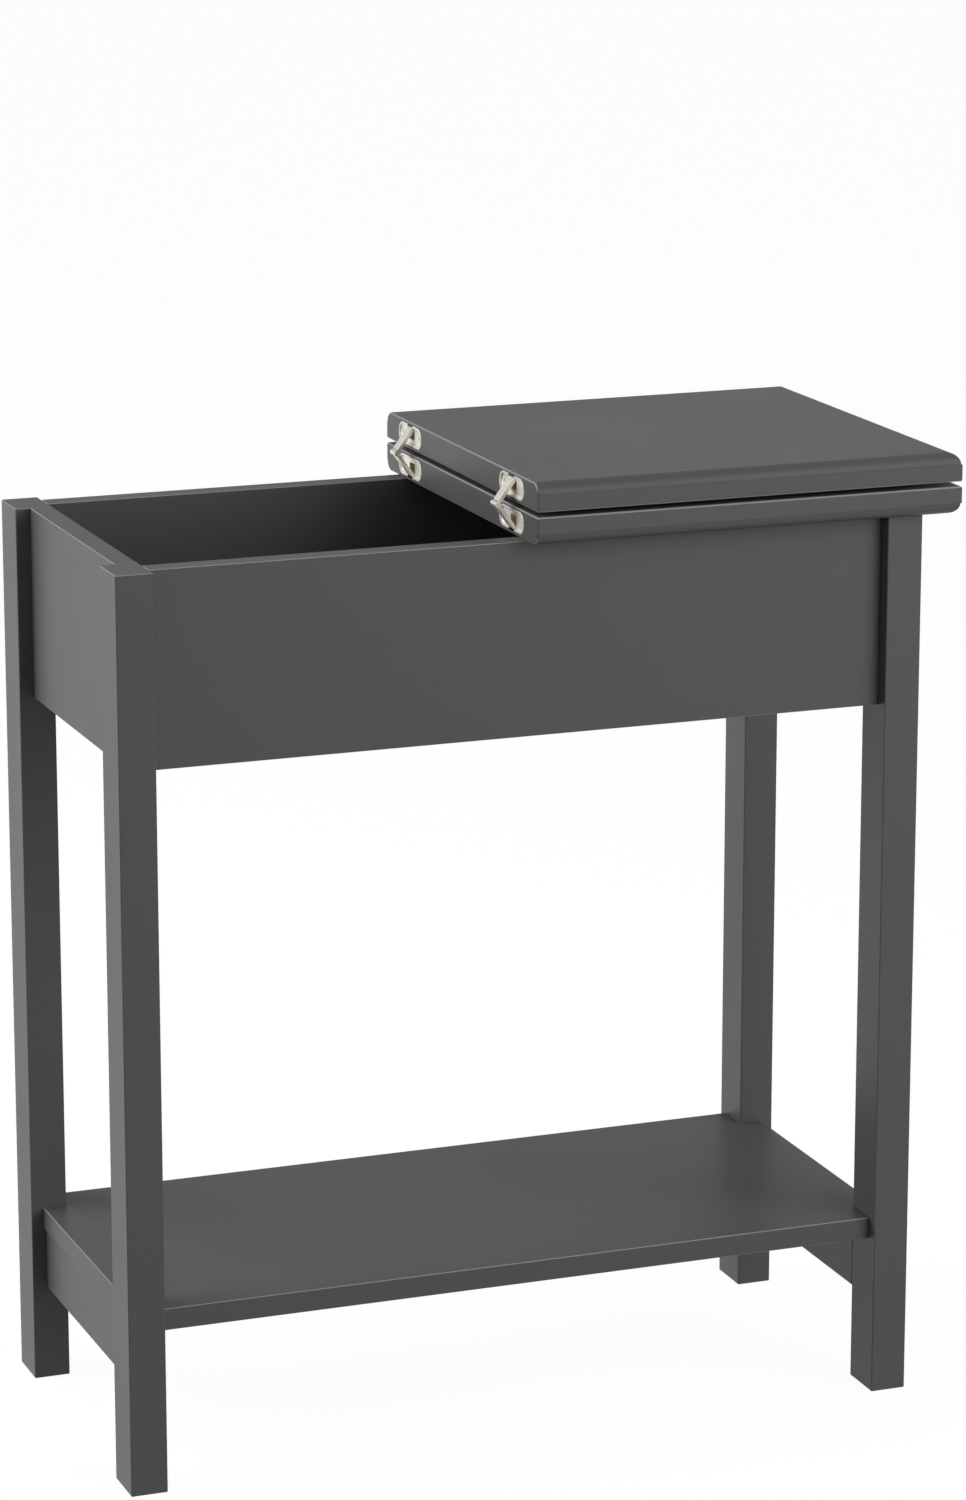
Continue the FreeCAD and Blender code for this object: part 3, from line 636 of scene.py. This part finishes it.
def screw_body(tree, inputs):
    """Round screw along Z with its face at 0, as one skin with a true thread."""
    rings = math_node(tree, "DIVIDE", inputs["Length"], inputs["Ring Step"])
    barrel = add_node(tree, "GeometryNodeMeshCylinder", {
        "Vertices": inputs["Sides"], "Side Segments": rings, "Radius": 1.0,
        "Depth": inputs["Length"]}).outputs["Mesh"]
    place = add_node(tree, "GeometryNodeInputPosition").outputs[0]
    x, y, z = add_node(tree, "ShaderNodeSeparateXYZ", {0: place}).outputs
    half = math_node(tree, "MULTIPLY", inputs["Length"], 0.5)
    depth = math_node(tree, "SUBTRACT", half, z)
    angle = math_node(tree, "DIVIDE", math_node(tree, "ARCTAN2", y, x), 2 * math.pi)
    radius = screw_radius(tree, inputs, depth, angle)
    moved = add_node(tree, "ShaderNodeCombineXYZ", {
        0: math_node(tree, "MULTIPLY", x, radius), 1: math_node(tree, "MULTIPLY", y, radius),
        2: math_node(tree, "SUBTRACT", z, half)}).outputs[0]
    return add_node(tree, "GeometryNodeSetPosition",
                    {"Geometry": barrel, "Position": moved}).outputs[0]


def cut_cross(tree, inputs, body):
    """Cuts the cross into the face of a screw."""
    reach = math_node(tree, "MULTIPLY", inputs["Cross Reach"], 2.0)
    tall = math_node(tree, "MULTIPLY", inputs["Cross Depth"], 2.0)
    cut = add_node(tree, "GeometryNodeMeshBoolean", {0: body}, operation="DIFFERENCE",
                   solver="EXACT")
    for size in ((reach, inputs["Cross Width"]), (inputs["Cross Width"], reach)):
        arm = add_node(tree, "ShaderNodeCombineXYZ", {0: size[0], 1: size[1], 2: tall}).outputs[0]
        block = add_node(tree, "GeometryNodeMeshCube", {"Size": arm}).outputs["Mesh"]
        tree.links.new(block, cut.inputs[1])
    return cut.outputs[0]


def smooth_by_angle(tree, mesh):
    """Smooth faces with sharp edges where they meet at more than the smooth angle."""
    edge = add_node(tree, "GeometryNodeInputMeshEdgeAngle").outputs[0]
    flat = add_node(tree, "FunctionNodeCompare", {0: edge, 1: SMOOTH_ANGLE},
                    data_type="FLOAT", operation="LESS_THAN").outputs[0]
    faces = add_node(tree, "GeometryNodeSetShadeSmooth", {0: mesh, "Shade Smooth": True},
                     domain="FACE").outputs[0]
    return add_node(tree, "GeometryNodeSetShadeSmooth", {0: faces, "Shade Smooth": flat},
                    domain="EDGE").outputs[0]


def screw_tree():
    """Geometry nodes that put one threaded screw on every point, facing its outward way."""
    tree = bpy.data.node_groups.new("threaded_screws", "GeometryNodeTree")
    tree.interface.new_socket(name="Geometry", in_out="INPUT", socket_type="NodeSocketGeometry")
    for name, kind in SCREW_INPUTS:
        tree.interface.new_socket(name=name, in_out="INPUT", socket_type=kind)
    tree.interface.new_socket(name="Geometry", in_out="OUTPUT", socket_type="NodeSocketGeometry")
    inputs = tree.nodes.new("NodeGroupInput").outputs
    end = tree.nodes.new("NodeGroupOutput").inputs
    screw = smooth_by_angle(tree, cut_cross(tree, inputs, screw_body(tree, inputs)))
    outward = add_node(tree, "GeometryNodeInputNamedAttribute", {"Name": "outward"},
                       data_type="FLOAT_VECTOR").outputs[0]
    facing = add_node(tree, "FunctionNodeAlignRotationToVector", {"Vector": outward},
                      axis="Z").outputs[0]
    placed = add_node(tree, "GeometryNodeInstanceOnPoints", {
        "Points": inputs["Geometry"], "Instance": screw, "Rotation": facing}).outputs[0]
    chance = add_node(tree, "FunctionNodeRandomValue", {2: 0.0, 3: math.pi / 2,
                                                        "Seed": inputs["Seed"]},
                      data_type="FLOAT").outputs[1]
    turn = add_node(tree, "ShaderNodeCombineXYZ", {2: chance}).outputs[0]
    turned = add_node(tree, "GeometryNodeRotateInstances",
                      {"Instances": placed, "Rotation": turn}).outputs[0]
    real = add_node(tree, "GeometryNodeRealizeInstances", {0: turned}).outputs[0]
    done = add_node(tree, "GeometryNodeSetMaterial",
                    {"Geometry": real, "Material": inputs["Material"]}).outputs[0]
    tree.links.new(done, end["Geometry"])
    return tree


def make_screws(node, dome, metal, context):
    """Threaded screws in the places and sizes of a CAD node's screws, which they replace."""
    settings = context.scene.table_screws
    solids = solids_of(node)
    found = [screw_sizes(points) for points in solids]
    place, outward, length, shank, head = found[0]
    height = head_height(solids[0], place, outward, shank)
    mesh = bpy.data.meshes.new(node + "_places")
    mesh.from_pydata([spot[0] for spot in found], [], [])
    facing = mesh.attributes.new("outward", "FLOAT_VECTOR", "POINT")
    for entry, spot in zip(facing.data, found):
        entry.vector = spot[1]
    piece = bpy.data.objects.new("threaded_" + node, mesh)
    context.scene.collection.objects.link(piece)
    modifier = piece.modifiers.new("screws", "NODES")
    modifier.node_group = bpy.data.node_groups.get("threaded_screws") or screw_tree()
    values = {
        "Length": length, "Shank Radius": shank, "Head Radius": head, "Head Height": height,
        "Head Dome": dome, "Cross Width": settings.cross_width,
        "Cross Reach": settings.cross_reach, "Cross Depth": settings.cross_depth,
        "Thread Pitch": settings.thread_pitch, "Thread Depth": settings.thread_depth,
        "Tip Length": settings.tip_length, "Ring Step": settings.ring_step,
        "Sides": settings.sides, "Seed": settings.seed, "Material": metal}
    for item in modifier.node_group.interface.items_tree:
        if item.in_out == "INPUT" and item.name in values:
            modifier[item.identifier] = values[item.name]
    made_real(piece, modifier, context)
    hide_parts(node)
    return piece


def made_real(piece, modifier, context):
    """Turns what a piece's nodes make into its plain mesh, and removes the nodes."""
    depsgraph = context.evaluated_depsgraph_get()
    mesh = bpy.data.meshes.new_from_object(piece.evaluated_get(depsgraph), depsgraph=depsgraph)
    if not mesh.polygons:
        raise RuntimeError(piece.name + " came out empty")
    piece.modifiers.remove(modifier)
    piece.data = mesh


# ---- Operators ----------------------------------------------------------------------------
class ENDTABLE_OT_paint_frame(bpy.types.Operator):
    """Paint the legs, aprons, rails, shelf and box floor"""
    bl_idname = "endtable.paint_frame"
    bl_label = "Paint the frame"

    def execute(self, context):
        paint = paint_material("satin_paint", context.scene.table_paint)
        for node in PAINTED_NODES:
            coat(node, paint)
        return {"FINISHED"}


class ENDTABLE_OT_paint_top(bpy.types.Operator):
    """Paint the two halves of the top"""
    bl_idname = "endtable.paint_top"
    bl_label = "Paint the top"

    def execute(self, context):
        paint = paint_material("satin_top_paint", context.scene.table_paint, narrow_rounds)
        for node in TOP_NODES:
            coat(node, paint)
        return {"FINISHED"}


class ENDTABLE_OT_finish_hinges(bpy.types.Operator):
    """Plate the hinge cups, links and pins"""
    bl_idname = "endtable.finish_hinges"
    bl_label = "Finish the hinges"

    def execute(self, context):
        settings = context.scene.table_hinges
        cup = cup_material(settings)
        links = streaked_metal("stamped_links", settings.link_color, PLATE_ROUGHNESS,
                               settings.link_metal, PLATE_STREAKS, PLATE_DEPTH)
        pin = streaked_metal("turned_pin", settings.pin_color, PIN_ROUGHNESS)
        for end in HINGE_ENDS:
            for half in ("fixed", "lid"):
                coat("hinge_" + end + "_cup_" + half, cup)
                coat("hinge_" + end + "_links_" + half, links)
            for name in PIN_NAMES:
                coat("hinge_" + end + "_pin_" + name, pin)
        return {"FINISHED"}


class ENDTABLE_OT_make_hinge_screws(bpy.types.Operator):
    """Make the countersunk screws of the hinge cups"""
    bl_idname = "endtable.make_hinge_screws"
    bl_label = "Make the hinge screws"

    def execute(self, context):
        settings = context.scene.table_hinges
        metal = streaked_metal("pale_screw", settings.screw_color, CUP_SCREW_ROUGHNESS,
                               settings.screw_metal)
        for half, body in (("fixed", "base"), ("lid", "lid")):
            piece = make_screws("hinge_set_screws_" + half, COUNTERSUNK, metal, context)
            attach(piece, body)
        return {"FINISHED"}


class ENDTABLE_OT_make_bracket_screws(bpy.types.Operator):
    """Make the domed screws of the angle brackets"""
    bl_idname = "endtable.make_bracket_screws"
    bl_label = "Make the bracket screws"

    def execute(self, context):
        settings = context.scene.table_fittings
        metal = streaked_metal("black_screw", settings.screw_color, BRACKET_SCREW_ROUGHNESS)
        for place in ("top", "shelf"):
            piece = make_screws(place + "_bracket_screws", DOMED, metal, context)
            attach(piece, "base")
        return {"FINISHED"}


class ENDTABLE_OT_finish_fittings(bpy.types.Operator):
    """Finish the dowels, cam fittings and brackets"""
    bl_idname = "endtable.finish_fittings"
    bl_label = "Finish the fittings"

    def execute(self, context):
        settings = context.scene.table_fittings
        zinc = streaked_metal("zinc_plate", settings.zinc_color, ZINC_ROUGHNESS)
        for node in ZINC_NODES:
            coat(node, zinc)
        coat("dowels", beech_material(settings))
        return {"FINISHED"}


class ENDTABLE_OT_set_stage(bpy.types.Operator):
    """Make the floor, the lights and the camera"""
    bl_idname = "endtable.set_stage"
    bl_label = "Set the stage"

    def execute(self, context):
        settings = context.scene.table_studio
        make_floor(context.scene, settings)
        make_light(context.scene, settings)
        make_camera(context.scene, settings)
        return {"FINISHED"}


# ---- Stage --------------------------------------------------------------------------------
def make_floor(scene, settings):
    """A wide round floor, which shows white and keeps the shadow of the table."""
    mesh = bpy.data.meshes.new("studio_floor")
    shape = bmesh.new()
    bmesh.ops.create_circle(shape, cap_ends=True, segments=FLOOR_SIDES,
                            radius=settings.floor_reach)
    shape.to_mesh(mesh)
    shape.free()
    floor = bpy.data.objects.new("studio_floor", mesh)
    scene.collection.objects.link(floor)
    material, tree, shader = new_material("studio_floor")
    shader["Base Color"].default_value = (*settings.floor_color, 1.0)
    shader["Roughness"].default_value = FLOOR_ROUGHNESS
    shader["Specular IOR Level"].default_value = 0.0
    path = add_node(tree, "ShaderNodeLightPath").outputs
    seen = math_node(tree, "MAXIMUM", path["Is Camera Ray"], path["Is Glossy Ray"])
    seen = math_node(tree, "MAXIMUM", seen, path["Is Transmission Ray"])
    glow = math_node(tree, "MULTIPLY", seen, settings.floor_lift)
    shader["Emission Color"].default_value = (1.0, 1.0, 1.0, 1.0)
    tree.links.new(glow, shader["Emission Strength"])
    mesh.materials.append(material)


def make_light(scene, settings):
    """A white sweep with a dimmer ceiling, and two softboxes that face the table."""
    world = bpy.data.worlds.new("studio")
    scene.world = world
    world.use_nodes = True
    tree = world.node_tree
    back = tree.nodes["Background"]
    back.inputs["Color"].default_value = (1.0, 1.0, 1.0, 1.0)
    path = add_node(tree, "ShaderNodeLightPath").outputs
    direction = add_node(tree, "ShaderNodeTexCoord").outputs["Generated"]
    height = add_node(tree, "ShaderNodeSeparateXYZ", {0: direction}).outputs[2]
    sweep = ramp(tree, height, *SWEEP_TOP, 1.0, settings.ceiling)
    level = mix_value(tree, path["Is Glossy Ray"], settings.ambient, sweep)
    clear = math_node(tree, "MAXIMUM", path["Is Camera Ray"], path["Is Transmission Ray"])
    tree.links.new(mix_value(tree, clear, level, 1.0), back.inputs["Strength"])
    for side, power, place, size in (
            ("left", settings.left_power, settings.left_place, settings.left_size),
            ("front", settings.front_power, settings.front_place, settings.front_size)):
        softbox(scene, side + "_softbox", power, place, size)


def softbox(scene, name, power, place, size):
    """A square soft light that faces the middle of the table."""
    lamp = bpy.data.lights.new(name, "AREA")
    lamp.energy = power
    lamp.size = size
    made = bpy.data.objects.new(name, lamp)
    aim = (CAD_LOW + CAD_HIGH) / 2 - Vector(place)
    made.location = place
    made.rotation_euler = aim.to_track_quat("-Z", "Y").to_euler()
    made.visible_camera = False
    scene.collection.objects.link(made)


def make_camera(scene, settings):
    """The camera, which looks down a little at the front and the left side of the table."""
    data = bpy.data.cameras.new("camera")
    data.lens = settings.lens
    data.sensor_width = settings.sensor
    data.clip_end = CAMERA_REACH
    camera = bpy.data.objects.new("camera", data)
    camera.location = settings.camera_place
    camera.rotation_euler = (math.pi / 2 - settings.camera_fall, 0.0, settings.camera_azimuth)
    scene.collection.objects.link(camera)
    scene.camera = camera


# ---- Panel and registration ---------------------------------------------------------------
class VIEW3D_PT_end_table(bpy.types.Panel):
    bl_label = "End Table"
    bl_space_type = "VIEW_3D"
    bl_region_type = "UI"
    bl_category = "End Table"

    def draw(self, context):
        for group in SETTINGS:
            settings = getattr(context.scene, group)
            box = self.layout.box()
            for name in settings.__annotations__:
                box.prop(settings, name)
        for operator in OPERATORS:
            self.layout.operator(operator.bl_idname)


SETTINGS = {
    "table_paint": PaintSettings,
    "table_hinges": HingeSettings,
    "table_fittings": FittingSettings,
    "table_screws": ScrewSettings,
    "table_studio": StudioSettings,
}
OPERATORS = (
    ENDTABLE_OT_set_stage,
    ENDTABLE_OT_paint_frame,
    ENDTABLE_OT_paint_top,
    ENDTABLE_OT_finish_hinges,
    ENDTABLE_OT_make_hinge_screws,
    ENDTABLE_OT_finish_fittings,
    ENDTABLE_OT_make_bracket_screws,
)


def register():
    for name, group in SETTINGS.items():
        bpy.utils.register_class(group)
        setattr(bpy.types.Scene, name, PointerProperty(type=group))
    for operator in OPERATORS:
        bpy.utils.register_class(operator)
    bpy.utils.register_class(VIEW3D_PT_end_table)


def unregister():
    bpy.utils.unregister_class(VIEW3D_PT_end_table)
    for operator in reversed(OPERATORS):
        bpy.utils.unregister_class(operator)
    for name, group in reversed(SETTINGS.items()):
        delattr(bpy.types.Scene, name)
        bpy.utils.unregister_class(group)


def main():
    register()
    bpy.context.scene.view_settings.view_transform = "Standard"
    bpy.ops.endtable.set_stage()
    bpy.ops.endtable.paint_frame()
    bpy.ops.endtable.paint_top()
    bpy.ops.endtable.finish_hinges()
    bpy.ops.endtable.make_hinge_screws()
    bpy.ops.endtable.finish_fittings()
    bpy.ops.endtable.make_bracket_screws()


if __name__ == "__main__":
    main()
